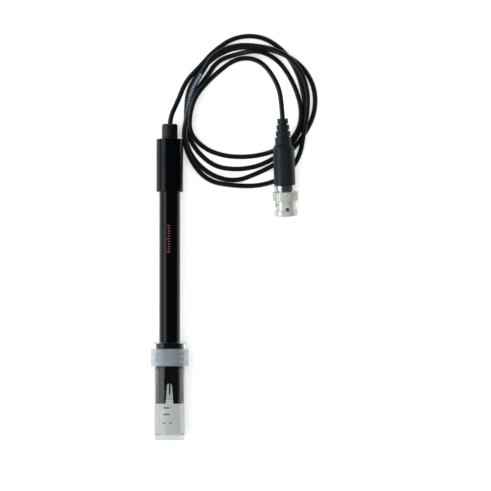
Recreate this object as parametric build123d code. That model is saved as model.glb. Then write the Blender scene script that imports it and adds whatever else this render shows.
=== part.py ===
from build123d import *
import os
from math import asin, atan2, cos, degrees, hypot, pi, radians, sin, tan

os.makedirs("parts", exist_ok=True)

# A combination pH electrode lying flat, with its coiled lead, its bayonet plug
# and the storage bottle screwed round its tip. +Z is up, the tip points along
# -Y, and the origin is on the ground under the middle of the electrode.
# Lengths are millimetres.

# Clearances
running_fit = 0.05
loose_fit = 0.3
liquid_gap = 0.05
overcut = 1.0

# Plastic shaft and the slotted guard at its tip
shaft_diameter = 12.0
shaft_wall = 1.5
immersion_length = 121.5
socket_depth = 16.0
guard_length = 11.5
slot_count = 4
slot_tip_width = 4.0
slot_arch_width = 2.6
web_thickness = 4.0
web_above_slots = 1.0
tip_round = 0.4

# Handle cap
handle_diameter = 15.5
handle_length = 30.5
handle_rear_round = 0.6
handle_front_round = 0.4
handle_end_wall = 3.5
handle_cavity_diameter = 9.5

# Strain relief in the handle's end
boot_diameter = 9.0
boot_length = 8.6
boot_bevel = 0.6
boot_neck_diameter = 6.0
boot_flange_diameter = 8.6
boot_flange_thickness = 1.6

# Glass measuring half-cell
stem_diameter = 5.0
stem_wall = 0.5
stem_in_potting = 6.0
bulb_diameter = 7.4
bulb_wall = 0.35
bulb_neck_round = 1.0
bulb_behind_tip = 2.2
buffer_length = 45.0
wire_diameter = 0.6
wire_above_bulb_floor = 3.0

# Reference half-cell round the stem
gel_below_potting = 6.5
reference_wire_above_seal = 7.5
junction_diameter = 1.2
stem_seal_thickness = 1.5
potting_length = 10.0
pigtail_length = 9.0

# Storage bottle, its screw cap and its seal
cap_to_tip = 35.3
collar_diameter = 19.1
collar_height = 3.9
collar_round = 0.5
skirt_diameter = 21.7
skirt_height = 9.9
skirt_round = 0.6
skirt_wall = 2.0
skirt_roof = 0.8
cap_hole_clearance = 0.4
seal_diameter = 16.1
seal_height = 3.2
seal_round = 0.4
seal_pocket_clearance = 0.1
bottle_diameter = 17.3
bottle_wall = 1.2
bottle_base = 2.9
bottle_below_cap = 42.1
bottle_round = 0.8
neck_wall = 1.0
shoulder_gap = 0.3
shoulder_slope = 1.0
filling_below_rim = 2.0

# Bayonet plug, measured from its nose
nut_length = 14.0
nut_rim_diameter = 13.5
nut_rim_length = 3.4
nut_sleeve_diameter = 11.6
nut_grip_diameter = 14.6
nut_grip_length = 5.3
nut_bore_diameter = 9.84
nut_lip_length = 3.2
nut_round = 0.4
flute_count = 36
flute_diameter = 0.7
bayonet_slot_width = 2.2
bayonet_slot_turn = 100.0
bayonet_slot_start = 4.0
bayonet_slot_rise = 2.8
bayonet_detent_diameter = 2.6
lead_in_depth = 0.5
nut_roll = 100.0
contact_diameter = 8.1
contact_wall = 0.55
contact_setback = 2.0
contact_slit_count = 4
contact_slit_width = 0.5
contact_slit_length = 4.5
body_flange_thickness = 1.0
body_neck_diameter = 8.0
gasket_thickness = 1.2
washer_thickness = 0.35
spring_thickness = 0.2
spring_bow = 0.6
collar_nut_diameter = 12.4
collar_nut_length = 3.9
collar_nut_groove = 0.6
collar_nut_groove_diameter = 10.6
collar_nut_spigot_diameter = 9.8
collar_nut_spigot_length = 2.0
barrel_diameter = 7.2
post_diameter = 4.0
post_bore_diameter = 3.2
post_length = 10.0
insulator_length = 3.7
insulator_boss_length = 2.2
insulator_boss_diameter = 4.8
pin_diameter = 1.37
pin_setback = 3.0
pin_tail_diameter = 2.0
pin_tail_length = 7.0
core_diameter = 1.5
ferrule_diameter = 6.2
ferrule_wall = 0.45
ferrule_length = 9.0
grip_diameter = 12.3
grip_length = 23.7
grip_front_round = 0.4
grip_shoulder_length = 2.3
grip_shoulder_round = 2.0
grip_rings = 4
grip_ring_pitch = 3.6
grip_ring_length = 2.8
grip_first_ring_diameter = 9.6
grip_last_ring_diameter = 6.2
grip_groove_depth = 0.6

# Lead: a thin coaxial cable
cord_diameter = 2.8
cord_bore_clearance = 0.05
jacket_inside_handle = 7.5
cord_start_depth = 3.5
cord_straight = 5.5
coil_height = 7.0
coil_round = 1.2
saddle_margin = 3.0
coil_centre = (44.4, 97.5)
# Outer and inner edge of the coil every 30 degrees, counter-clockwise from +X
coil_outer = (39.7, 42.5, 41.4, 44.8, 41.2, 39.1, 35.4, 39.6, 45.4, 42.5, 42.5, 36.8)
coil_inner = (29.3, 29.0, 33.0, 33.3, 27.6, 27.6, 30.2, 32.2, 26.4, 23.6, 24.7, 27.9)
# The lead's way from the handle into the coil, and from the plug into the coil
lead_points = [(5.0, 104.4, 4.2), (12.8, 118.2, 2.4), (19.5, 124.6, 2.2)]
tail_points = [(62.5, 113.6, 7.6), (52.4, 127.7, 3.2), (38.6, 129.1, 1.6), (25.4, 118.8, 1.6)]

# Where the plug lies: its nose on the ground, its grip over one strand
plug_nose = (66.7, 37.8)
plug_yaw = 2.0
strand_from_nose = 23.2

# Sizes that follow
shaft_radius = shaft_diameter / 2
bore_radius = shaft_radius - shaft_wall
tip = -immersion_length
web_bottom = tip + guard_length + web_above_slots
web_top = web_bottom + web_thickness
stem_radius = stem_diameter / 2
stem_hole_radius = stem_radius + running_fit
bulb_radius = bulb_diameter / 2
bulb_centre = tip + bulb_behind_tip + bulb_radius
wire_radius = wire_diameter / 2
wire_hole_radius = wire_radius + running_fit
side_place = (bore_radius + stem_radius) / 2
side = (side_place, 0)
seal_top = web_top + stem_seal_thickness
handle_radius = handle_diameter / 2
cavity_end = handle_length - handle_end_wall
boot_end = handle_length + boot_length
jacket_end = handle_length - jacket_inside_handle
potting_top = jacket_end - pigtail_length
potting_bottom = potting_top - potting_length
stem_top = potting_bottom + stem_in_potting
wire_foot = bulb_centre - bulb_radius + wire_above_bulb_floor
reference_foot = seal_top + reference_wire_above_seal

cap_top = tip + cap_to_tip
rim = cap_top - collar_height
skirt_end = rim - skirt_height
shoulder = skirt_end - shoulder_gap
bottle_end = skirt_end - bottle_below_cap
bottle_floor = bottle_end + bottle_base
bottle_radius = bottle_diameter / 2
bottle_bore = bottle_radius - bottle_wall
neck_radius = seal_diameter / 2
neck_bore = neck_radius - neck_wall
skirt_radius = skirt_diameter / 2

nut_grip_start = nut_length - nut_grip_length
lip_face = nut_length - nut_lip_length
washer_top = lip_face - running_fit
flange_back = washer_top - washer_thickness - spring_thickness - spring_bow
flange_front = flange_back - body_flange_thickness
collar_nut_end = nut_length + collar_nut_length
spigot_end = collar_nut_end + collar_nut_spigot_length
post_end = spigot_end + post_length
pin_end = flange_back + pin_tail_length
grip_end = collar_nut_end + grip_length
plug_end = grip_end + grip_rings * grip_ring_pitch
cord_radius = cord_diameter / 2
cord_bore = cord_radius + cord_bore_clearance

# The handle's rear edge and the cap's upper skirt edge both rest on the ground
handle_edge = handle_length - handle_rear_round
skirt_edge = rim - skirt_round
edge_span = handle_edge - skirt_edge
edge_step = (skirt_radius - skirt_round) - (handle_radius - handle_rear_round)
round_step = skirt_round - handle_rear_round
lean = asin(round_step / hypot(edge_span, edge_step)) + atan2(edge_step, edge_span)
shoulder_height = (
    (handle_radius - handle_rear_round) * cos(lean) + handle_rear_round + handle_edge * sin(lean)
)
middle = -(boot_end + bottle_end) / 2 * cos(lean)
lie = Pos(0, middle, shoulder_height) * Rot(X=-90 - degrees(lean))

# The plug tips up from its nose until the grip clears the strand beneath it
rim_radius = nut_rim_diameter / 2
strand_rise = cord_diameter + grip_diameter / 2 - rim_radius
plug_tilt = degrees(atan2(strand_rise, strand_from_nose))
nose_height = (rim_radius - nut_round) * cos(radians(plug_tilt)) + nut_round
nose_height -= nut_round * sin(radians(plug_tilt))
lay = Pos(*plug_nose, nose_height) * Rot(Z=plug_yaw) * Rot(X=-90 + plug_tilt)

upward = (Align.CENTER, Align.CENTER, Align.MIN)


def turned(*corners):
    """A turned solid from its corners, each (radius, height) or (radius, height, rounding)."""
    rounds = [corner[2] if len(corner) == 3 else 0 for corner in corners]
    outline = FilletPolyline(*[corner[:2] for corner in corners], radius=rounds, close=True)
    return revolve(make_face(Plane.XZ * outline), Axis.Z)


def rod(radius, low, high, place=(0, 0)):
    """A round bar along Z between two heights."""
    return Pos(*place, low) * Cylinder(radius, high - low, align=upward)


def ring(inner, outer, low, high):
    """A plain ring between two heights."""
    return turned((inner, low), (outer, low), (outer, high), (inner, high))


def save(name, shape, place):
    export_step(place * shape, f"parts/{name}.step")


# Electrode, in its own frame: Z = 0 at the handle's shoulder, the tip below


def guard_slot():
    """One arched slot, widening towards the tip, cut from the axis outwards."""
    arch = slot_arch_width / 2
    arch_centre = tip + guard_length - arch
    sides = Polyline(
        (-slot_tip_width / 2, tip),
        (-slot_tip_width / 2, tip - overcut),
        (slot_tip_width / 2, tip - overcut),
        (slot_tip_width / 2, tip),
        (arch, arch_centre),
        (-arch, arch_centre),
        close=True,
    )
    outline = make_face(sides) + Pos(0, arch_centre) * Circle(arch)
    return extrude(Plane.XZ * outline, amount=shaft_radius + overcut)


def body_tube():
    """The shaft: an open tube above the web, four prongs round the bulb below it."""
    tube = turned(
        (0, web_bottom),
        (bore_radius, web_bottom),
        (bore_radius, tip),
        (shaft_radius, tip, tip_round),
        (shaft_radius, socket_depth),
        (bore_radius, socket_depth),
        (bore_radius, web_top),
        (0, web_top),
    )
    tube -= rod(stem_hole_radius, web_bottom - overcut, web_top + overcut)
    junction_hole = junction_diameter / 2 + running_fit
    tube -= rod(junction_hole, web_bottom - overcut, web_top + overcut, (-side_place, 0))
    for k in range(slot_count):
        tube -= Rot(Z=k * 360 / slot_count) * guard_slot()
    return tube


def handle_cap():
    cavity = handle_cavity_diameter / 2
    socket = shaft_radius + running_fit
    neck_hole = boot_neck_diameter / 2 + running_fit
    return turned(
        (socket, 0),
        (handle_radius, 0, handle_front_round),
        (handle_radius, handle_length, handle_rear_round),
        (neck_hole, handle_length),
        (neck_hole, cavity_end),
        (cavity, cavity_end),
        (cavity, socket_depth),
        (socket, socket_depth),
    )


def strain_relief_boot():
    """A rubber bush: an inner flange, a neck through the wall and the visible sleeve."""
    sleeve = boot_diameter / 2
    return turned(
        (cord_bore, cavity_end - boot_flange_thickness),
        (boot_flange_diameter / 2, cavity_end - boot_flange_thickness),
        (boot_flange_diameter / 2, cavity_end),
        (boot_neck_diameter / 2, cavity_end),
        (boot_neck_diameter / 2, handle_length),
        (sleeve, handle_length),
        (sleeve, boot_end - boot_bevel),
        (sleeve - boot_bevel, boot_end),
        (cord_bore, boot_end),
    )


def is_stem_wide(edge):
    return abs(edge.radius - stem_radius) < running_fit


def glass_membrane():
    """A glass stem blown into a thin bulb that stands inside the guard."""
    outside = rod(stem_radius, bulb_centre, stem_top)
    outside += Pos(0, 0, bulb_centre) * Sphere(bulb_radius)
    circles = outside.edges().filter_by(GeomType.CIRCLE).filter_by(is_stem_wide)
    outside = fillet(circles.sort_by(Axis.Z)[0], bulb_neck_round)
    inside = rod(stem_radius - stem_wall, bulb_centre, stem_top)
    inside += Pos(0, 0, bulb_centre) * Sphere(bulb_radius - bulb_wall)
    return outside - inside


def inner_buffer():
    """The liquid in the bulb and the foot of the stem, round the silver wire."""
    level = bulb_centre + buffer_length
    liquid = rod(stem_radius - stem_wall - liquid_gap, bulb_centre, level)
    liquid += Pos(0, 0, bulb_centre) * Sphere(bulb_radius - bulb_wall - liquid_gap)
    return liquid - rod(wire_hole_radius, wire_foot - liquid_gap, level)


def reference_gel():
    """The gel between stem and shaft, with the reference wire running in it."""
    level = potting_bottom - gel_below_potting
    gel = ring(stem_hole_radius, bore_radius - liquid_gap, seal_top, level)
    return gel - rod(wire_hole_radius, reference_foot - liquid_gap, level, side)


def stem_seal():
    washer = ring(stem_hole_radius, bore_radius - running_fit, web_top, seal_top)
    return washer - rod(junction_diameter / 2 + running_fit, web_top, seal_top, (-side_place, 0))


def upper_potting():
    """The resin plug that closes the shaft round the stem and both wires."""
    plug = rod(bore_radius - running_fit, potting_bottom, potting_top)
    plug -= rod(stem_hole_radius, potting_bottom, stem_top)
    for place in ((0, 0), side):
        plug -= rod(wire_hole_radius, potting_bottom, potting_top, place)
    return plug


def screen_pigtail():
    """The twisted screen, bent from the cable's end over to the reference wire."""
    start = (cord_radius - wire_radius, 0, jacket_end)
    bend = (side_place, 0, (jacket_end + potting_top) / 2)
    path = FilletPolyline(start, bend, (side_place, 0, potting_top), radius=[wire_diameter])
    section = Plane(origin=start, z_dir=path % 0) * Circle(wire_radius)
    wire = sweep(section, path=path)
    return wire & rod(handle_radius, potting_top, jacket_end)


save("body_tube", body_tube(), lie)
save("handle_cap", handle_cap(), lie)
save("strain_relief_boot", strain_relief_boot(), lie)
save("glass_membrane", glass_membrane(), lie)
save("inner_buffer", inner_buffer(), lie)
save("measuring_wire", rod(wire_radius, wire_foot, potting_top), lie)
save("reference_gel", reference_gel(), lie)
save("reference_wire", rod(wire_radius, reference_foot, potting_top, side), lie)
junction = rod(junction_diameter / 2, web_bottom, seal_top, (-side_place, 0))
save("ceramic_junction", junction, lie)
save("stem_seal", stem_seal(), lie)
save("upper_potting", upper_potting(), lie)
save("handle_core", rod(core_diameter / 2, potting_top, jacket_end), lie)
save("screen_pigtail", screen_pigtail(), lie)


# Storage bottle, in the electrode's frame


def seal_ring():
    inner = shaft_radius + running_fit
    outer = seal_diameter / 2
    high = rim + seal_height
    return turned(
        (inner, rim, seal_round), (outer, rim), (outer, high, seal_round), (inner, high, seal_round)
    )


def bottle_cap():
    """A collar that holds the seal, over a wider skirt that screws onto the neck."""
    hole = shaft_radius + cap_hole_clearance
    pocket = seal_diameter / 2 + seal_pocket_clearance
    skirt_bore = skirt_radius - skirt_wall
    return turned(
        (hole, cap_top),
        (hole, rim + seal_height),
        (pocket, rim + seal_height),
        (pocket, rim - skirt_roof),
        (skirt_bore, rim - skirt_roof),
        (skirt_bore, skirt_end),
        (skirt_radius, skirt_end, skirt_round),
        (skirt_radius, rim, skirt_round),
        (collar_diameter / 2, rim),
        (collar_diameter / 2, cap_top, collar_round),
    )


def storage_bottle():
    return turned(
        (0, bottle_end),
        (bottle_radius, bottle_end, bottle_round),
        (bottle_radius, shoulder, bottle_round / 2),
        (neck_radius, shoulder),
        (neck_radius, rim),
        (neck_bore, rim),
        (neck_bore, shoulder),
        (bottle_bore, shoulder - shoulder_slope),
        (bottle_bore, bottle_floor, bottle_round),
        (0, bottle_floor),
    )


def storage_solution():
    """The filling, with the room that the shaft takes up left open."""
    well = shaft_radius + loose_fit
    level = rim - filling_below_rim
    low = bottle_floor + liquid_gap
    return turned(
        (0, low),
        (bottle_bore - liquid_gap, low, bottle_round),
        (bottle_bore - liquid_gap, shoulder - shoulder_slope),
        (neck_bore - liquid_gap, shoulder),
        (neck_bore - liquid_gap, level),
        (well, level),
        (well, tip - loose_fit),
        (0, tip - loose_fit),
    )


save("seal_ring", seal_ring(), lie)
save("bottle_cap", bottle_cap(), lie)
save("storage_bottle", storage_bottle(), lie)
save("storage_solution", storage_solution(), lie)


# Bayonet plug, in its own frame: Z = 0 at its nose, the cable's end above


def bayonet_slot():
    """A slot that climbs round the sleeve and ends in the round hole that the lug drops into."""
    sleeve = nut_sleeve_diameter / 2
    pitch = bayonet_slot_rise * 360 / bayonet_slot_turn
    depth = nut_rim_diameter / 2
    path = Helix(pitch, bayonet_slot_rise, sleeve)
    section = Plane(origin=path @ 0, x_dir=(1, 0, 0), z_dir=path % 0)
    blade = sweep(section * Rectangle(depth, bayonet_slot_width), path=path, is_frenet=True)
    radial = Rot(Y=90) * Cylinder(bayonet_slot_width / 2, depth)
    detent = Rot(Y=90) * Cylinder(bayonet_detent_diameter / 2, depth)
    blade += Pos(sleeve, 0, 0) * radial
    blade += Rot(Z=bayonet_slot_turn) * Pos(sleeve, 0, bayonet_slot_rise) * detent
    return Pos(0, 0, bayonet_slot_start) * blade


def lead_in():
    """The groove inside the rim along which the jack's lug reaches the slot."""
    bore = nut_bore_diameter / 2
    length = bayonet_slot_start + bayonet_slot_width / 2
    groove = Box(2 * lead_in_depth, bayonet_slot_width, length, align=upward)
    return Pos(bore, 0, 0) * groove


def coupling_nut():
    bore = nut_bore_diameter / 2
    lip = body_neck_diameter / 2 + loose_fit
    nut = turned(
        (bore, 0),
        (nut_rim_diameter / 2, 0, nut_round),
        (nut_rim_diameter / 2, nut_rim_length, nut_round),
        (nut_sleeve_diameter / 2, nut_rim_length),
        (nut_sleeve_diameter / 2, nut_grip_start),
        (nut_grip_diameter / 2, nut_grip_start, nut_round),
        (nut_grip_diameter / 2, nut_length, nut_round),
        (lip, nut_length),
        (lip, lip_face),
        (bore, lip_face),
    )
    for half_turn in (0, 180):
        nut -= Rot(Z=half_turn) * (bayonet_slot() + lead_in())
    flute_place = (nut_grip_diameter / 2, 0)
    flute = rod(flute_diameter / 2, nut_grip_start - overcut, nut_length + overcut, flute_place)
    for k in range(flute_count):
        nut -= Rot(Z=k * 360 / flute_count) * flute
    return Rot(Z=nut_roll) * nut


def plug_body():
    """The inner body: sprung contact sleeve, flange, neck, barrel and crimping post."""
    contact = contact_diameter / 2
    contact_bore = contact - contact_wall
    flange = nut_bore_diameter / 2 - running_fit
    neck = body_neck_diameter / 2
    bore_end = flange_front + insulator_length
    body = turned(
        (contact_bore, contact_setback),
        (contact, contact_setback),
        (contact, flange_front),
        (flange, flange_front),
        (flange, flange_back),
        (neck, flange_back),
        (neck, nut_length),
        (barrel_diameter / 2, nut_length),
        (barrel_diameter / 2, spigot_end),
        (post_diameter / 2, spigot_end),
        (post_diameter / 2, post_end),
        (post_bore_diameter / 2, post_end),
        (post_bore_diameter / 2, bore_end),
        (contact_bore, bore_end),
    )
    slit_end = contact_setback + contact_slit_length
    for k in range(contact_slit_count):
        slit = Pos(contact, 0, 0) * Box(contact, contact_slit_width, slit_end, align=upward)
        body -= Rot(Z=(k + 0.5) * 360 / contact_slit_count) * slit
    return body


def mouth_gasket():
    inner = contact_diameter / 2 + running_fit
    outer = nut_bore_diameter / 2 - loose_fit / 2
    return ring(inner, outer, flange_front - gasket_thickness, flange_front)


def spring_washer():
    """A bowed ring that pushes the coupling nut back against the collar."""
    inner = body_neck_diameter / 2 + running_fit
    outer = nut_bore_diameter / 2 - loose_fit / 2
    bow_radius = (outer**2 + spring_bow**2) / (2 * spring_bow)
    crown = flange_back + spring_bow + spring_thickness
    bend = Pos(0, 0, crown - bow_radius) * Rot(X=90)
    leaf = bend * (
        Cylinder(bow_radius, 4 * outer) - Cylinder(bow_radius - spring_thickness, 5 * outer)
    )
    return leaf & ring(inner, outer, flange_back, crown)


def thrust_washer():
    inner = body_neck_diameter / 2 + running_fit
    outer = nut_bore_diameter / 2 - running_fit
    return ring(inner, outer, washer_top - washer_thickness, washer_top)


def rear_collar():
    """The pressed-on collar that keeps the coupling nut on the body."""
    bore = barrel_diameter / 2 + running_fit
    groove = collar_nut_groove_diameter / 2
    outer = collar_nut_diameter / 2
    spigot = collar_nut_spigot_diameter / 2
    return turned(
        (bore, nut_length),
        (groove, nut_length),
        (groove, nut_length + collar_nut_groove),
        (outer, nut_length + collar_nut_groove, nut_round),
        (outer, collar_nut_end, nut_round),
        (spigot, collar_nut_end),
        (spigot, spigot_end),
        (bore, spigot_end),
    )


def insulator():
    outer = contact_diameter / 2 - contact_wall - running_fit
    front = flange_front
    back = front + insulator_length
    pin_hole = pin_diameter / 2 + running_fit
    tail_hole = pin_tail_diameter / 2 + running_fit
    return turned(
        (pin_hole, front - insulator_boss_length),
        (insulator_boss_diameter / 2, front - insulator_boss_length),
        (insulator_boss_diameter / 2, front),
        (outer, front),
        (outer, back),
        (tail_hole, back),
        (tail_hole, flange_back),
        (pin_hole, flange_back),
    )


def centre_pin():
    pin = pin_diameter / 2
    return turned(
        (0, pin_setback),
        (pin, pin_setback, pin / 2),
        (pin, flange_back),
        (pin_tail_diameter / 2, flange_back),
        (pin_tail_diameter / 2, pin_end),
        (0, pin_end),
    )


def plug_grip():
    """The moulded grip, tapering into ribs where the cable comes out."""
    outer = grip_diameter / 2
    corners = [
        (collar_nut_spigot_diameter / 2 + running_fit, collar_nut_end),
        (outer, collar_nut_end, grip_front_round),
        (outer, grip_end - grip_shoulder_length, grip_shoulder_round),
    ]
    drop = (grip_first_ring_diameter - grip_last_ring_diameter) / 2 / (grip_rings - 1)
    for k in range(grip_rings):
        ring_radius = grip_first_ring_diameter / 2 - k * drop
        ring_end = grip_end + (k + 1) * grip_ring_pitch
        ring_start = ring_end - grip_ring_length
        groove_radius = ring_radius - grip_groove_depth
        if k == 0:
            corners += [(ring_radius, grip_end)]
        else:
            corners += [(groove_radius, ring_start), (ring_radius, ring_start)]
        corners += [(ring_radius, ring_end)]
        if k < grip_rings - 1:
            corners += [(ring_radius - drop - grip_groove_depth, ring_end)]
    ferrule_room = ferrule_diameter / 2 + running_fit
    corners += [
        (cord_bore, plug_end),
        (cord_bore, post_end),
        (ferrule_room, post_end),
        (ferrule_room, spigot_end),
        (collar_nut_spigot_diameter / 2 + running_fit, spigot_end),
    ]
    return turned(*corners)


ferrule_outer = ferrule_diameter / 2
ferrule_start = post_end - ferrule_length
ferrule = ring(ferrule_outer - ferrule_wall, ferrule_outer, ferrule_start, post_end)
save("coupling_nut", coupling_nut(), lay)
save("plug_body", plug_body(), lay)
save("mouth_gasket", mouth_gasket(), lay)
save("spring_washer", spring_washer(), lay)
save("thrust_washer", thrust_washer(), lay)
save("rear_collar", rear_collar(), lay)
save("insulator", insulator(), lay)
save("centre_pin", centre_pin(), lay)
save("plug_core", rod(core_diameter / 2, pin_end, post_end), lay)
save("crimp_ferrule", ferrule, lay)
save("plug_grip", plug_grip(), lay)


# Cable


def on_axis(place, height):
    """A point on a turned piece's axis, in the whole object's frame."""
    return (place * Pos(0, 0, height)).position


def cable(points):
    """A round cable along straight runs joined by the largest arcs that they allow."""
    points = [Vector(point) for point in points]
    runs = [after - before for before, after in zip(points, points[1:])]
    radii = []
    for before, after in zip(runs, runs[1:]):
        half_turn = radians(before.get_angle(after)) / 2
        radii.append(0.45 * min(before.length, after.length) / tan(half_turn))
    path = FilletPolyline(*points, radius=radii)
    tube = sweep(Plane(origin=points[0], z_dir=runs[0]) * Circle(cord_radius), path=path)
    expected = pi * cord_radius**2 * path.length
    print("cable runs", [round(run.length, 1) for run in runs])
    print("cable radii", [round(radius, 1) for radius in radii])
    print("cable volume", round(tube.volume, 2), "section times length", round(expected, 2))
    return tube


def edge_of_coil(radii):
    step = 360 / len(radii)
    points = []
    for k, radius in enumerate(radii):
        angle = radians(k * step)
        points.append((coil_centre[0] + radius * cos(angle), coil_centre[1] + radius * sin(angle)))
    return make_face(Spline(*points, periodic=True))


def cord_coil():
    """The outer shape of the loose turns, hollowed where the plug lies across them."""
    turns = extrude(edge_of_coil(coil_outer) - edge_of_coil(coil_inner), amount=coil_height)
    top = turns.edges().group_by(Axis.Z)[-1]
    turns = fillet(top, coil_round)
    room = grip_diameter / 2 + loose_fit
    saddle = rod(room, collar_nut_end - saddle_margin, plug_end + saddle_margin)
    saddle += Pos(0, -room, collar_nut_end) * Box(2 * room, 2 * room, plug_end, align=upward)
    return turns - lay * saddle


lead_start = on_axis(lie, boot_end - cord_start_depth)
lead_exit = on_axis(lie, boot_end + cord_straight)
cord_lead = cable([lead_start, lead_exit] + lead_points)
cord_lead += lie * rod(cord_radius, jacket_end, boot_end - cord_start_depth)
tail_start = on_axis(lay, plug_end - cord_start_depth)
tail_exit = on_axis(lay, plug_end + cord_straight)
cord_tail = cable([tail_start, tail_exit] + tail_points)
cord_tail += lay * rod(cord_radius, post_end, plug_end - cord_start_depth)
save("cord_lead", cord_lead, Pos(0, 0, 0))
save("cord_tail", cord_tail, Pos(0, 0, 0))
save("cord_coil", cord_coil(), Pos(0, 0, 0))

print("electrode lean", round(degrees(lean), 3), "plug tilt", round(plug_tilt, 3))
print("electrode axis at the shoulder", on_axis(lie, 0), "tip", on_axis(lie, tip))
print("seal", on_axis(lie, rim), "plug nose", on_axis(lay, 0), "plug end", on_axis(lay, plug_end))
print("lead start, exit", lead_start, lead_exit, "tail start, exit", tail_start, tail_exit)
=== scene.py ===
from math import atan2, cos, hypot, pi, radians, sin, sqrt

import bpy
from mathutils import Matrix, Vector


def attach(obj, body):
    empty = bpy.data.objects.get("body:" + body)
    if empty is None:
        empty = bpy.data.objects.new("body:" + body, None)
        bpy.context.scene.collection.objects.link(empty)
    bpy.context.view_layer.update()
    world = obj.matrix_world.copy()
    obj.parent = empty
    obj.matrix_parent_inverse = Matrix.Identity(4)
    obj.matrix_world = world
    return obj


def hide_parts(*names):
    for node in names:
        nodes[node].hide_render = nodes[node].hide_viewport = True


# A combination pH electrode with its coiled lead, bayonet plug and storage bottle.
# The CAD frame gives every rigid part. This script adds the lead, the threads, the
# bottle's filling and the prints, and it dresses all of it. Lengths are in metres, but
# for the lead's route and the printed marks, whose numbers are in mm.

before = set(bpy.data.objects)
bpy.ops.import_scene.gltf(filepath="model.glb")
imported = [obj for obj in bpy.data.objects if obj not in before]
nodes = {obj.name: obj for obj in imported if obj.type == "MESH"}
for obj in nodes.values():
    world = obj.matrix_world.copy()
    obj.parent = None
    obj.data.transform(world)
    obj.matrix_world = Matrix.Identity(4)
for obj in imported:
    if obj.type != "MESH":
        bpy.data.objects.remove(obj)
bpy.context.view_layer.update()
scene = bpy.context.scene
mm = 0.001

# Sizes that the source of the part gives or works out too
cable_diameter = 2.8 * mm
shaft_radius = 6.0 * mm
bottle_radius = 8.65 * mm
bottle_bore = 7.45 * mm
neck_radius = 8.05 * mm
neck_bore = 7.05 * mm
skirt_bore = 8.85 * mm
rim = -90.1 * mm
bottle_shoulder = -100.3 * mm
bottle_floor = -139.2 * mm
liquid_level = -92.1 * mm
shoulder_slope = 1.0 * mm
foot_round = 0.8 * mm
thread_pitch = 3.0 * mm
grip_radius = 6.15 * mm
nut_rim_radius = 6.75 * mm
nut_round = 0.4 * mm
plug_nose = (66.7 * mm, 37.8 * mm)
plug_yaw = radians(2.0)
strand_from_nose = 23.2 * mm
shoulder_y = 51.483 * mm
shoulder_height = 8.516 * mm
plug_tail_exit = 61.5 * mm
plug_tail_start = 52.5 * mm

# The threads, which only this script shows
thread_low = -98.6 * mm
neck_thread_high = -91.4 * mm
neck_thread_crest = 8.7 * mm
cap_thread_high = -92.2 * mm
cap_thread_crest = 8.2 * mm

# The electrode's own frame: Z = 0 at the handle's shoulder, +Z to the cable, -Y up
electrode_lean = radians(1.4724)
electrode_place = (
    Matrix.Translation((0, shoulder_y, shoulder_height))
    @ Matrix.Rotation(-pi / 2 - electrode_lean, 4, "X")
)
# The plug's own frame: Z = 0 at its nose, +Z to the cable
plug_tilt = atan2(cable_diameter + grip_radius - nut_rim_radius, strand_from_nose)
nose_height = (nut_rim_radius - nut_round) * cos(plug_tilt) + nut_round
nose_height -= nut_round * sin(plug_tilt)
plug_place = (
    Matrix.Translation((*plug_nose, nose_height))
    @ Matrix.Rotation(plug_yaw, 4, "Z")
    @ Matrix.Rotation(-pi / 2 + plug_tilt, 4, "X")
)

# Camera: straight above the middle of the picture, whose width holds at focus_height
camera_height = 2.5
focus_height = 8 * mm
picture_width = 0.282
picture_middle = (43.5 * mm, 20.8 * mm)
sensor = 36.0
camera_data = bpy.data.cameras.new("camera")
camera_data.sensor_width = sensor
camera_data.lens = sensor * camera_height / picture_width
camera_data.clip_end = 20.0
camera = bpy.data.objects.new("camera", camera_data)
camera.location = (*picture_middle, camera_height + focus_height)
scene.collection.objects.link(camera)
scene.camera = camera


def add_mesh(name, points, faces, smooth_angle=35.0):
    """A mesh object of the given points and faces, smooth but for its sharp edges."""
    mesh = bpy.data.meshes.new(name)
    mesh.from_pydata([tuple(point) for point in points], [], faces)
    mesh.validate()
    mesh.polygons.foreach_set("use_smooth", [True] * len(mesh.polygons))
    mesh.set_sharp_from_angle(angle=radians(smooth_angle))
    thing = bpy.data.objects.new(name, mesh)
    scene.collection.objects.link(thing)
    return thing


# The lead's route in mm. It has points of its own near the boot and near the plug.
# The coil's turns between them are worked out from radii in photo pixels, read off the
# loose coil every turn_step degrees, clockwise from its left side. A 0 has no point.
# coil_growth fits them a little closer to the photo's strands.
px_per_mm = 1.74
coil_middle = (44.4, 97.56)
coil_growth = 1.012
turn_step = 20
coil_passes = [
    [
        0, 0, 0, 67.5, 74.5, 76.0, 70.5, 63.5, 58.5,
        57.0, 55.0, 53.0, 52.5, 54.0, 57.0, 61.7, 62.2, 62.5,
    ],
    [
        59.5, 61.5, 61.0, 63.0, 64.5, 64.0, 67.0, 70.5, 70.5,
        66.5, 60.5, 57.5, 58.0, 60.5, 69.0, 71.2, 70.0, 66.0,
    ],
    [
        58.0, 58.5, 58.3, 65.5, 66.5, 65.5, 68.0, 67.0, 63.0,
        59.0, 58.8, 67.5, 73.7, 73.2, 73.0, 77.8, 72.8, 66.8,
    ],
    [
        57.0, 54.5, 52.0, 58.0, 57.5, 61.5, 59.5, 54.5, 52.5,
        53.5, 53.5, 50.0, 45.5, 43.5, 44.5, 48.7, 55.0, 59.7,
    ],
    [55.5, 52.0],
]
cable = cable_diameter / mm
lead_way = [
    (0, 87.07, 7.6),
    (0, 94.07, 7.4),
    (4.4, 103.4, 4.2),
    (9.1, 115.5, 2.4),
    (18.6, 125.2, 1.8),
]
tail_way = [(25.4, 118.8, 3.8), (38.6, 129.1, 4.2), (52.4, 127.7, 4.4), (62.5, 113.6, 7.6)]
tail_exit = plug_place @ Vector((0, 0, plug_tail_exit))
tail_start = plug_place @ Vector((0, 0, plug_tail_start))


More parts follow.
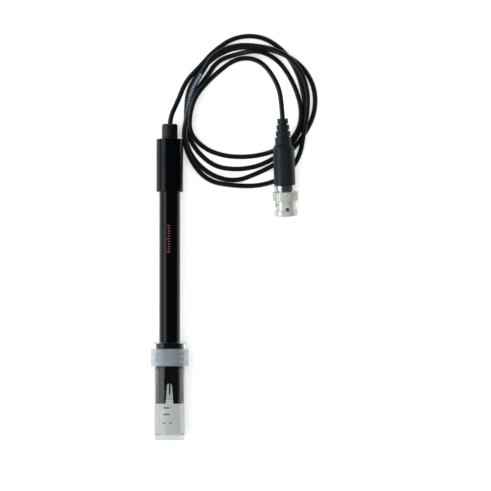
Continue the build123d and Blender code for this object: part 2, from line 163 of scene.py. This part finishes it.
def coil_turns():
    """The turns' points in plan, pulled out, because a spline cuts its corners."""
    pull = coil_growth / cos(radians(turn_step / 2)) / px_per_mm
    points = []
    for radii in coil_passes:
        for k, radius in enumerate(radii):
            if radius:
                angle = radians(180 - turn_step * k)
                points.append(
                    (
                        coil_middle[0] + radius * pull * cos(angle),
                        coil_middle[1] + radius * pull * sin(angle),
                    )
                )
    return points


def stacked(points, looks=6, apart=9):
    """Heights that lay each turn on the floor or over the turns beneath it.

    A stretch counts as beneath when it is at least "apart" points back. "looks" is how
    many steps each stretch between two points is split into.
    """
    heights, laid = [], []
    for i, (x, y) in enumerate(points):
        height = cable / 2
        for j in (i - 1, i + 1):
            if not 0 <= j < len(points):
                continue
            for s in range(looks // 2 + 1):
                t = s / looks
                at_x = x + (points[j][0] - x) * t
                at_y = y + (points[j][1] - y) * t
                for k, low_x, low_y, low_z in laid:
                    gap = hypot(at_x - low_x, at_y - low_y)
                    if k <= i - apart and gap < cable:
                        height = max(height, low_z + sqrt(cable**2 - gap**2))
        if i:
            x0, y0 = points[i - 1]
            for s in range(looks):
                t = s / looks
                z = heights[-1] + (height - heights[-1]) * t
                laid.append((i, x0 + (x - x0) * t, y0 + (y - y0) * t, z))
        heights.append(height)
    return heights


turns = coil_turns()
route = [Vector(point) * mm for point in lead_way]
route += [Vector((x, y, z)) * mm for (x, y), z in zip(turns, stacked(turns))]
route += [Vector(point) * mm for point in tail_way]
route += [tail_exit, tail_start]


def lay_cable(name, points, diameter):
    """A round cable along a smooth open spline."""
    curve = bpy.data.curves.new(name, "CURVE")
    curve.dimensions = "3D"
    curve.bevel_depth = 1.0
    curve.bevel_resolution = 6
    curve.resolution_u = 8
    curve.use_fill_caps = True
    spline = curve.splines.new("NURBS")
    spline.points.add(len(points) - 1)
    for control, place in zip(spline.points, points):
        control.co = (*place, 1)
        control.radius = diameter / 2
    spline.order_u = 3
    spline.use_endpoint_u = True
    thing = bpy.data.objects.new(name, curve)
    scene.collection.objects.link(thing)
    return thing


lead = lay_cable("lead_cable", route, cable_diameter)
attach(lead, "electrode")
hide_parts("cord_lead", "cord_coil", "cord_tail")


def printed_streak(name, cable_piece, first, last, diameter, step=0.16, inked=0.82):
    """A row of short pale bars along the top of one strand of the cable.

    The places and the step are in control points, and "inked" is the printed share.
    """
    bare = cable_piece.copy()
    bare.data = cable_piece.data.copy()
    bare.data.bevel_depth = 0
    line = [v.co.copy() for v in bpy.data.meshes.new_from_object(bare).vertices]
    bpy.data.objects.remove(bare)
    across = 4
    reach = radians(32)
    proud = 0.02 * mm
    points, faces = [], []
    bars = int((last - first) / step)
    for k in range(bars):
        start = len(points)
        for at in (first + k * step, first + (k + inked) * step):
            spot = at * len(line) / (len(route) - 2)
            i = int(spot)
            place = line[i].lerp(line[i + 1], spot - i)
            along = (line[i + 1] - line[i]).normalized()
            side = along.cross(Vector((0, 0, 1))).normalized()
            up = side.cross(along)
            for j in range(across + 1):
                turn = reach * (2 * j / across - 1)
                out = side * sin(turn) + up * cos(turn)
                points.append(place + out * (diameter / 2 + proud))
        for j in range(across):
            a, b = start + j, start + across + 1 + j
            faces.append((a, b, b + 1, a + 1))
    ink = add_mesh(name, points, faces)
    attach(ink, "electrode")
    return ink


# The print is on a strand at the coil's upper left
print_start = 37.2
print_end = 39.6
streak = printed_streak("cable_print", lead, print_start, print_end, cable_diameter)


def thread(name, body, root, crest, low, high, turns_shift=0.0):
    """A helical ridge from the root radius to the crest, fading out at both ends."""
    steps_a_turn = 64
    fade = 0.125
    least = 0.02
    total = (high - low) / thread_pitch
    steps = int(total * steps_a_turn)
    base = thread_pitch * 0.21
    top = thread_pitch * 0.09
    sink = 0.1 * mm if crest > root else -0.1 * mm
    points, faces = [], []
    for i in range(steps + 1):
        turn = i / steps_a_turn
        grown = max(least, min(1.0, turn / fade, (total - turn) / fade))
        angle = 2 * pi * (turn + turns_shift)
        middle = low + turn * thread_pitch
        reach = root + (crest - root) * grown
        for radius, z in (
            (root - sink, middle - base),
            (reach, middle - top),
            (reach, middle + top),
            (root - sink, middle + base),
        ):
            points.append(electrode_place @ Vector((radius * cos(angle), radius * sin(angle), z)))
        if i:
            a, b = 4 * (i - 1), 4 * i
            for k in range(4):
                n = (k + 1) % 4
                faces.append((a + k, b + k, b + n, a + n))
    faces += [(0, 1, 2, 3), (4 * steps + 3, 4 * steps + 2, 4 * steps + 1, 4 * steps)]
    ridge = add_mesh(name, points, faces)
    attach(ridge, body)
    return ridge


neck_thread = thread(
    "neck_thread",
    body="bottle",
    root=neck_radius,
    crest=neck_thread_crest,
    low=thread_low,
    high=neck_thread_high,
)
cap_thread = thread(
    "cap_thread",
    body="cap",
    root=skirt_bore,
    crest=cap_thread_crest,
    low=thread_low,
    high=cap_thread_high,
    turns_shift=0.5,
)


def turned(name, place, corners, segments=96):
    """A closed turned body from (radius, height) corners, the first and last on the axis."""
    points, faces = [], []
    rings = corners[1:-1]
    for radius, z in rings:
        for k in range(segments):
            angle = 2 * pi * k / segments
            points.append(place @ Vector((radius * cos(angle), radius * sin(angle), z)))
    for i in range(len(rings) - 1):
        for k in range(segments):
            n = (k + 1) % segments
            a, b = i * segments, (i + 1) * segments
            faces.append((a + k, a + n, b + n, b + k))
    last = (len(rings) - 1) * segments
    for centre, start, order in ((corners[0], 0, -1), (corners[-1], last, 1)):
        points.append(place @ Vector((0, 0, centre[1])))
        for k in range(segments):
            n = (k + 1) % segments
            around = (start + k, start + n, len(points) - 1)
            faces.append(around[::order])
    return add_mesh(name, points, faces)


# The filling reaches a little into the wall, so that no air is left between them. Its
# surface climbs the neck's wall a little.
wetting = 0.02 * mm
climb_width = 0.8 * mm
climb_bend = (0.3 * mm, 0.12 * mm)
climb_height = 0.5 * mm
filling_floor = bottle_floor - wetting
filling_corners = [(0, filling_floor)]
for k in range(5):
    a = k * pi / 8
    filling_corners.append(
        (
            bottle_bore + wetting - foot_round * (1 - sin(a)),
            filling_floor + foot_round * (1 - cos(a)),
        )
    )
filling_corners += [
    (bottle_bore + wetting, bottle_shoulder - shoulder_slope),
    (neck_bore + wetting, bottle_shoulder),
    (neck_bore + wetting, liquid_level + climb_height),
    (neck_bore - climb_bend[0], liquid_level + climb_bend[1]),
    (neck_bore - climb_width, liquid_level),
    (0, liquid_level),
]
filling = turned("bottle_filling", electrode_place, filling_corners)
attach(filling, "bottle")
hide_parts("storage_solution")


def printed(name, place, radius, marks, body, proud=0.03 * mm):
    """Ink on a round surface: thin curved bars from marks of two heights and two angles."""
    across = 6
    points, faces = [], []
    for z_low, z_high, a_low, a_high in marks:
        first = len(points)
        for level in (radius - proud, radius + proud):
            for k in range(across + 1):
                angle = a_low + (a_high - a_low) * k / across
                for z in (z_low, z_high):
                    points.append(place @ Vector((level * cos(angle), level * sin(angle), z)))
        layer = 2 * (across + 1)
        for k in range(across):
            a = first + 2 * k
            faces.append((a, a + 1, a + 3, a + 2))
            b = a + layer
            faces.append((b, b + 2, b + 3, b + 1))
            faces.append((a, a + 2, b + 2, b))
            faces.append((a + 1, b + 1, b + 3, a + 3))
        a, b = first, first + layer
        faces.append((a, b, b + 1, a + 1))
        a, b = first + 2 * across, first + 2 * across + layer
        faces.append((a, a + 1, b + 1, b))
    ink = add_mesh(name, points, faces)
    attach(ink, body)
    return ink


def top_angle(x, radius):
    """The angle in a piece's own frame of the upper point at this distance across."""
    return atan2(-sqrt(radius**2 - x**2), x)


def bar(y, length, left, right, radius):
    """A mark from its middle along the electrode in the frame, length and sides, all in mm."""
    z = y * mm - shoulder_y
    return (
        z - length * mm / 2,
        z + length * mm / 2,
        top_angle(left * mm, radius),
        top_angle(right * mm, radius),
    )


# The bottle's marks: place along the electrode, left side and right side
bottle_mark_length = 0.75
bottle_mark_places = (
    (-72.3, -3.6, 0.1),
    (-76.0, -3.6, 0.1),
    (-81.0, -3.9, -2.7),
    (-81.0, 0.1, 1.3),
)
bottle_marks = [
    bar(y, bottle_mark_length, left, right, bottle_radius)
    for y, left, right in bottle_mark_places
]
graduation = printed(
    "bottle_graduation", electrode_place, bottle_radius, bottle_marks, "bottle"
)

# The shaft's scale: every fifth bar is a wide one
scale_top = 32.0
scale_step = 1.5
scale_bar_length = 0.6
scale_right = 0.3
shaft_marks = []
for k in range(11):
    scale_left = -1.5 if k % 5 == 0 else -1.0
    y = scale_top - scale_step * k
    shaft_marks.append(bar(y, scale_bar_length, scale_left, scale_right, shaft_radius))
immersion_scale = printed(
    "immersion_scale", electrode_place, shaft_radius, shaft_marks, "electrode"
)

# Floor and light
half_floor = 3
floor_corners = [(x * half_floor, y * half_floor, 0) for x, y in ((-1, -1), (1, -1), (1, 1), (-1, 1))]
floor = add_mesh("floor", floor_corners, [(0, 1, 2, 3)])


def area_light(name, place, target, width, height, power, glossy=True):
    """A lamp of the given size that faces the target and can't be seen through glass."""
    data = bpy.data.lights.new(name, "AREA")
    data.shape = "RECTANGLE"
    data.size = width
    data.size_y = height
    data.energy = power
    lamp = bpy.data.objects.new(name, data)
    lamp.location = place
    way = Vector(target) - Vector(place)
    lamp.rotation_euler = way.to_track_quat("-Z", "Y").to_euler()
    lamp.visible_glossy = glossy
    lamp.visible_transmission = False
    scene.collection.objects.link(lamp)
    return lamp


middle = (30 * mm, 20 * mm, 0)
softbox = area_light("softbox", (-0.53, 0.02, 0.33), middle, width=0.9, height=0.44, power=3.0)
softbox.data.color = (0.82, 0.92, 1.0)
area_light("overhead", (0.05, 0.02, 0.9), middle, width=1.2, height=1.2, power=9.0, glossy=False)

world = bpy.data.worlds.new("studio")
scene.world = world
world.use_nodes = True
backdrop = world.node_tree.nodes["Background"]
backdrop.inputs["Color"].default_value = (0.95, 0.97, 1.0, 1)
backdrop.inputs["Strength"].default_value = 0.05


def new_shader(name):
    """A new material with its node tree and its Principled shader."""
    material = bpy.data.materials.new(name)
    material.use_nodes = True
    tree = material.node_tree
    return material, tree, tree.nodes["Principled BSDF"]


def placed(tree, place=None):
    """Where a point of the piece is, in the given frame. Returns the vector."""
    where = tree.nodes.new("ShaderNodeTexCoord").outputs["Object"]
    if place is None:
        return where
    turn = tree.nodes.new("ShaderNodeMapping")
    turn.vector_type = "TEXTURE"
    turn.inputs["Location"].default_value = place.to_translation()
    turn.inputs["Rotation"].default_value = place.to_euler()
    tree.links.new(where, turn.inputs["Vector"])
    return turn.outputs["Vector"]


def noise(tree, scale, detail=3.0, stretch=None, place=None):
    """A noise field in the given frame or the piece's own, stretched if asked."""
    where = placed(tree, place)
    if stretch is not None:
        scaling = tree.nodes.new("ShaderNodeMapping")
        scaling.inputs["Scale"].default_value = stretch
        tree.links.new(where, scaling.inputs["Vector"])
        where = scaling.outputs["Vector"]
    field = tree.nodes.new("ShaderNodeTexNoise")
    field.inputs["Scale"].default_value = scale
    field.inputs["Detail"].default_value = detail
    tree.links.new(where, field.inputs["Vector"])
    return field.outputs["Fac"]


def spread(tree, value, low, high, start=0.3, end=0.7):
    """A value mapped onto another range. The usual start and end suit a noise field."""
    ranged = tree.nodes.new("ShaderNodeMapRange")
    ranged.inputs["From Min"].default_value = start
    ranged.inputs["From Max"].default_value = end
    ranged.inputs["To Min"].default_value = low
    ranged.inputs["To Max"].default_value = high
    tree.links.new(value, ranged.inputs["Value"])
    return ranged.outputs["Result"]


def shades(tree, value, stops):
    """A colour ramp over a value."""
    ramp = tree.nodes.new("ShaderNodeValToRGB")
    while len(ramp.color_ramp.elements) < len(stops):
        ramp.color_ramp.elements.new(0.5)
    for element, (position, colour) in zip(ramp.color_ramp.elements, stops):
        element.position = position
        element.color = (*colour, 1)
    tree.links.new(value, ramp.inputs["Fac"])
    return ramp.outputs["Color"]


def finish_of(
    name,
    dark,
    light,
    rough=(0.3, 0.4),
    metallic=0.0,
    ior=1.5,
    transmission=0.0,
    specular=0.5,
    grain=800.0,
    bump=(1500.0, 0.01 * mm),
    stretch=None,
    place=None,
):
    """A moulded, plated or clear finish: shade, roughness and relief all vary.

    The relief is given as its scale and its height. Wear has broader patches than
    the mottle.
    """
    wear_share = 0.37
    material, tree, shader = new_shader(name)
    shader.inputs["Metallic"].default_value = metallic
    shader.inputs["IOR"].default_value = ior
    shader.inputs["Transmission Weight"].default_value = transmission
    shader.inputs["Specular IOR Level"].default_value = specular
    mottle = noise(tree, grain, 4.0, stretch, place)
    colour = shades(tree, mottle, [(0.35, dark), (0.65, light)])
    tree.links.new(colour, shader.inputs["Base Color"])
    wear = noise(tree, grain * wear_share, 3.0, stretch, place)
    tree.links.new(spread(tree, wear, *rough), shader.inputs["Roughness"])
    relief = tree.nodes.new("ShaderNodeBump")
    relief.inputs["Strength"].default_value = 1.0
    relief.inputs["Distance"].default_value = bump[1]
    tree.links.new(noise(tree, bump[0], 2.0, stretch, place), relief.inputs["Height"])
    tree.links.new(relief.outputs["Normal"], shader.inputs["Normal"])
    return material


def dress(material, *names):
    """Gives the material to pieces of this script or nodes of the frame."""
    for name in names:
        thing = nodes[name] if isinstance(name, str) else name
        slots = thing.data.materials
        if len(slots) == 0:
            slots.append(material)
        for i in range(len(slots)):
            slots[i] = material


# Black plastics and rubber
dress(
    finish_of("handle_gloss", (0.0008, 0.0010, 0.0013), (0.0014, 0.0018, 0.0022),
              rough=(0.14, 0.2), specular=0.18, bump=(260.0, 0.004 * mm)),
    "handle_cap",
)
dress(
    finish_of("shaft_gloss", (0.0010, 0.0013, 0.0016), (0.0018, 0.0022, 0.0027),
              rough=(0.08, 0.14), specular=0.22, bump=(300.0, 0.004 * mm)),
    "body_tube",
)
dress(
    finish_of("black_rubber", (0.0020, 0.0024, 0.0028), (0.0036, 0.0042, 0.0050),
              rough=(0.45, 0.6)),
    "strain_relief_boot", "stem_seal", "seal_ring",
)
dress(
    finish_of("grip_satin", (0.0066, 0.0105, 0.0125), (0.0110, 0.0160, 0.0190),
              rough=(0.34, 0.46), specular=0.28, bump=(3500.0, 0.02 * mm)),
    "plug_grip",
)
dress(
    finish_of("cable_jacket", (0.0022, 0.0032, 0.0040), (0.0040, 0.0056, 0.0068),
              rough=(0.36, 0.5), bump=(2500.0, 0.012 * mm)),
    lead,
)

# Metals, the turned ones with fine rings round the plug's axis
rings = (0.02, 0.02, 1.0)
dress(
    finish_of("nut_nickel", (0.64, 0.65, 0.58), (0.72, 0.73, 0.655), rough=(0.24, 0.34),
              metallic=0.4, grain=300.0, bump=(900.0, 0.0015 * mm), place=plug_place),
    "coupling_nut",
)
dress(
    finish_of("turned_nickel", (0.56, 0.55, 0.50), (0.70, 0.69, 0.64), rough=(0.2, 0.32),
              metallic=1.0, stretch=rings, place=plug_place, bump=(4000.0, 0.006 * mm)),
    "plug_body", "rear_collar", "crimp_ferrule",
)
dress(
    finish_of("spring_steel", (0.5, 0.49, 0.46), (0.6, 0.59, 0.57), rough=(0.25, 0.35),
              metallic=1.0),
    "spring_washer", "thrust_washer",
)
dress(
    finish_of("gold", (0.75, 0.50, 0.18), (0.88, 0.64, 0.27), rough=(0.15, 0.25),
              metallic=1.0, stretch=rings, place=plug_place),
    "centre_pin",
)
dress(
    finish_of("silver_wire", (0.66, 0.65, 0.63), (0.80, 0.79, 0.76), rough=(0.45, 0.6),
              metallic=0.6),
    "measuring_wire", "reference_wire",
)
dress(
    finish_of("copper_screen", (0.60, 0.28, 0.16), (0.75, 0.40, 0.25), rough=(0.3, 0.4),
              metallic=1.0),
    "screen_pigtail",
)

# Insulation, seals and what is cast in
dress(
    finish_of("red_gasket", (0.42, 0.07, 0.04), (0.55, 0.10, 0.06), rough=(0.5, 0.6)),
    "mouth_gasket",
)
dress(
    finish_of("white_insulation", (0.72, 0.72, 0.70), (0.82, 0.82, 0.80), rough=(0.35, 0.45)),
    "insulator", "handle_core", "plug_core",
)
dress(
    finish_of("porous_ceramic", (0.70, 0.68, 0.62), (0.82, 0.80, 0.75), rough=(0.7, 0.85),
              bump=(6000.0, 0.03 * mm)),
    "ceramic_junction",
)
dress(
    finish_of("cast_resin", (0.03, 0.03, 0.034), (0.05, 0.05, 0.056), rough=(0.2, 0.35)),
    "upper_potting",
)

# Glass, liquids and clear plastic. The bulb's index is against the liquid round it.
dress(
    finish_of("cloudy_gel", (0.70, 0.68, 0.60), (0.80, 0.78, 0.70), rough=(0.2, 0.3),
              ior=1.05, transmission=0.6),
    "reference_gel",
)
dress(
    finish_of("membrane_glass", (0.93, 0.95, 0.94), (0.97, 0.98, 0.97), rough=(0.0, 0.02),
              ior=1.12, transmission=1.0, bump=(150.0, 0.002 * mm)),
    "glass_membrane",
)
dress(
    finish_of("buffer_liquid", (0.92, 0.94, 0.92), (0.96, 0.97, 0.95), rough=(0.0, 0.01),
              ior=1.03, transmission=1.0, bump=(100.0, 0.001 * mm)),
    "inner_buffer",
)
dress(
    finish_of("storage_liquid", (0.965, 0.955, 0.875), (0.98, 0.97, 0.89), rough=(0.0, 0.01),
              ior=1.34, specular=0.2, transmission=1.0, grain=60.0, bump=(80.0, 0.0002 * mm)),
    filling,
)
dress(
    finish_of("clear_bottle", (0.90, 0.93, 0.94), (0.93, 0.955, 0.96), rough=(0.0, 0.02),
              ior=1.49, specular=0.22, transmission=1.0, grain=90.0, bump=(120.0, 0.001 * mm)),
    "storage_bottle", neck_thread,
)


def two_part_cap():
    """The cap's plastic: clear at the collar round the seal, frosted and milky on the skirt."""
    skirt_transmission = 0.74
    collar_transmission = 1.0
    skirt_rough = 0.2
    collar_rough = 0.03
    half_blend = 0.3 * mm
    material = finish_of("frosted_cap", (0.76, 0.83, 0.88), (0.82, 0.89, 0.93), ior=1.42,
                         transmission=skirt_transmission, grain=260.0, bump=(600.0, 0.002 * mm))
    tree = material.node_tree
    shader = tree.nodes["Principled BSDF"]
    split = tree.nodes.new("ShaderNodeSeparateXYZ")
    tree.links.new(placed(tree, electrode_place), split.inputs["Vector"])
    along = split.outputs["Z"]
    edges = (rim - half_blend, rim + half_blend)
    clear = spread(tree, along, skirt_transmission, collar_transmission, *edges)
    tree.links.new(clear, shader.inputs["Transmission Weight"])
    rough = spread(tree, along, skirt_rough, collar_rough, *edges)
    tree.links.new(rough, shader.inputs["Roughness"])
    return material


dress(two_part_cap(), "bottle_cap", cap_thread)

# Inks
dress(
    finish_of("grey_ink", (0.07, 0.075, 0.075), (0.12, 0.125, 0.125), rough=(0.4, 0.5)),
    graduation,
)
dress(
    finish_of("pale_ink", (0.13, 0.17, 0.20), (0.22, 0.27, 0.31), rough=(0.4, 0.5)),
    streak,
)
dress(
    finish_of("red_ink", (0.14, 0.035, 0.022), (0.22, 0.055, 0.035), rough=(0.4, 0.5)),
    immersion_scale,
)


def paper_floor():
    """A white floor that camera, mirror and glass see a little brighter than it is lit."""
    glow = 0.42
    material, tree, shader = new_shader("paper_floor")
    shader.inputs["Roughness"].default_value = 0.9
    shader.inputs["Specular IOR Level"].default_value = 0.1
    fibre = noise(tree, 60.0)
    tone = shades(tree, fibre, [(0.3, (0.90, 0.90, 0.90)), (0.7, (0.92, 0.92, 0.92))])
    tree.links.new(tone, shader.inputs["Base Color"])
    path = tree.nodes.new("ShaderNodeLightPath").outputs
    seen = path["Is Camera Ray"]
    for kind in ("Is Glossy Ray", "Is Transmission Ray"):
        either = tree.nodes.new("ShaderNodeMath")
        either.operation = "MAXIMUM"
        tree.links.new(seen, either.inputs[0])
        tree.links.new(path[kind], either.inputs[1])
        seen = either.outputs[0]
    lift = tree.nodes.new("ShaderNodeMath")
    lift.operation = "MULTIPLY"
    lift.inputs[1].default_value = glow
    tree.links.new(seen, lift.inputs[0])
    shader.inputs["Emission Color"].default_value = (1, 1, 1, 1)
    tree.links.new(lift.outputs[0], shader.inputs["Emission Strength"])
    return material


dress(paper_floor(), floor)

scene.view_settings.view_transform = "Standard"
bpy.context.view_layer.update()
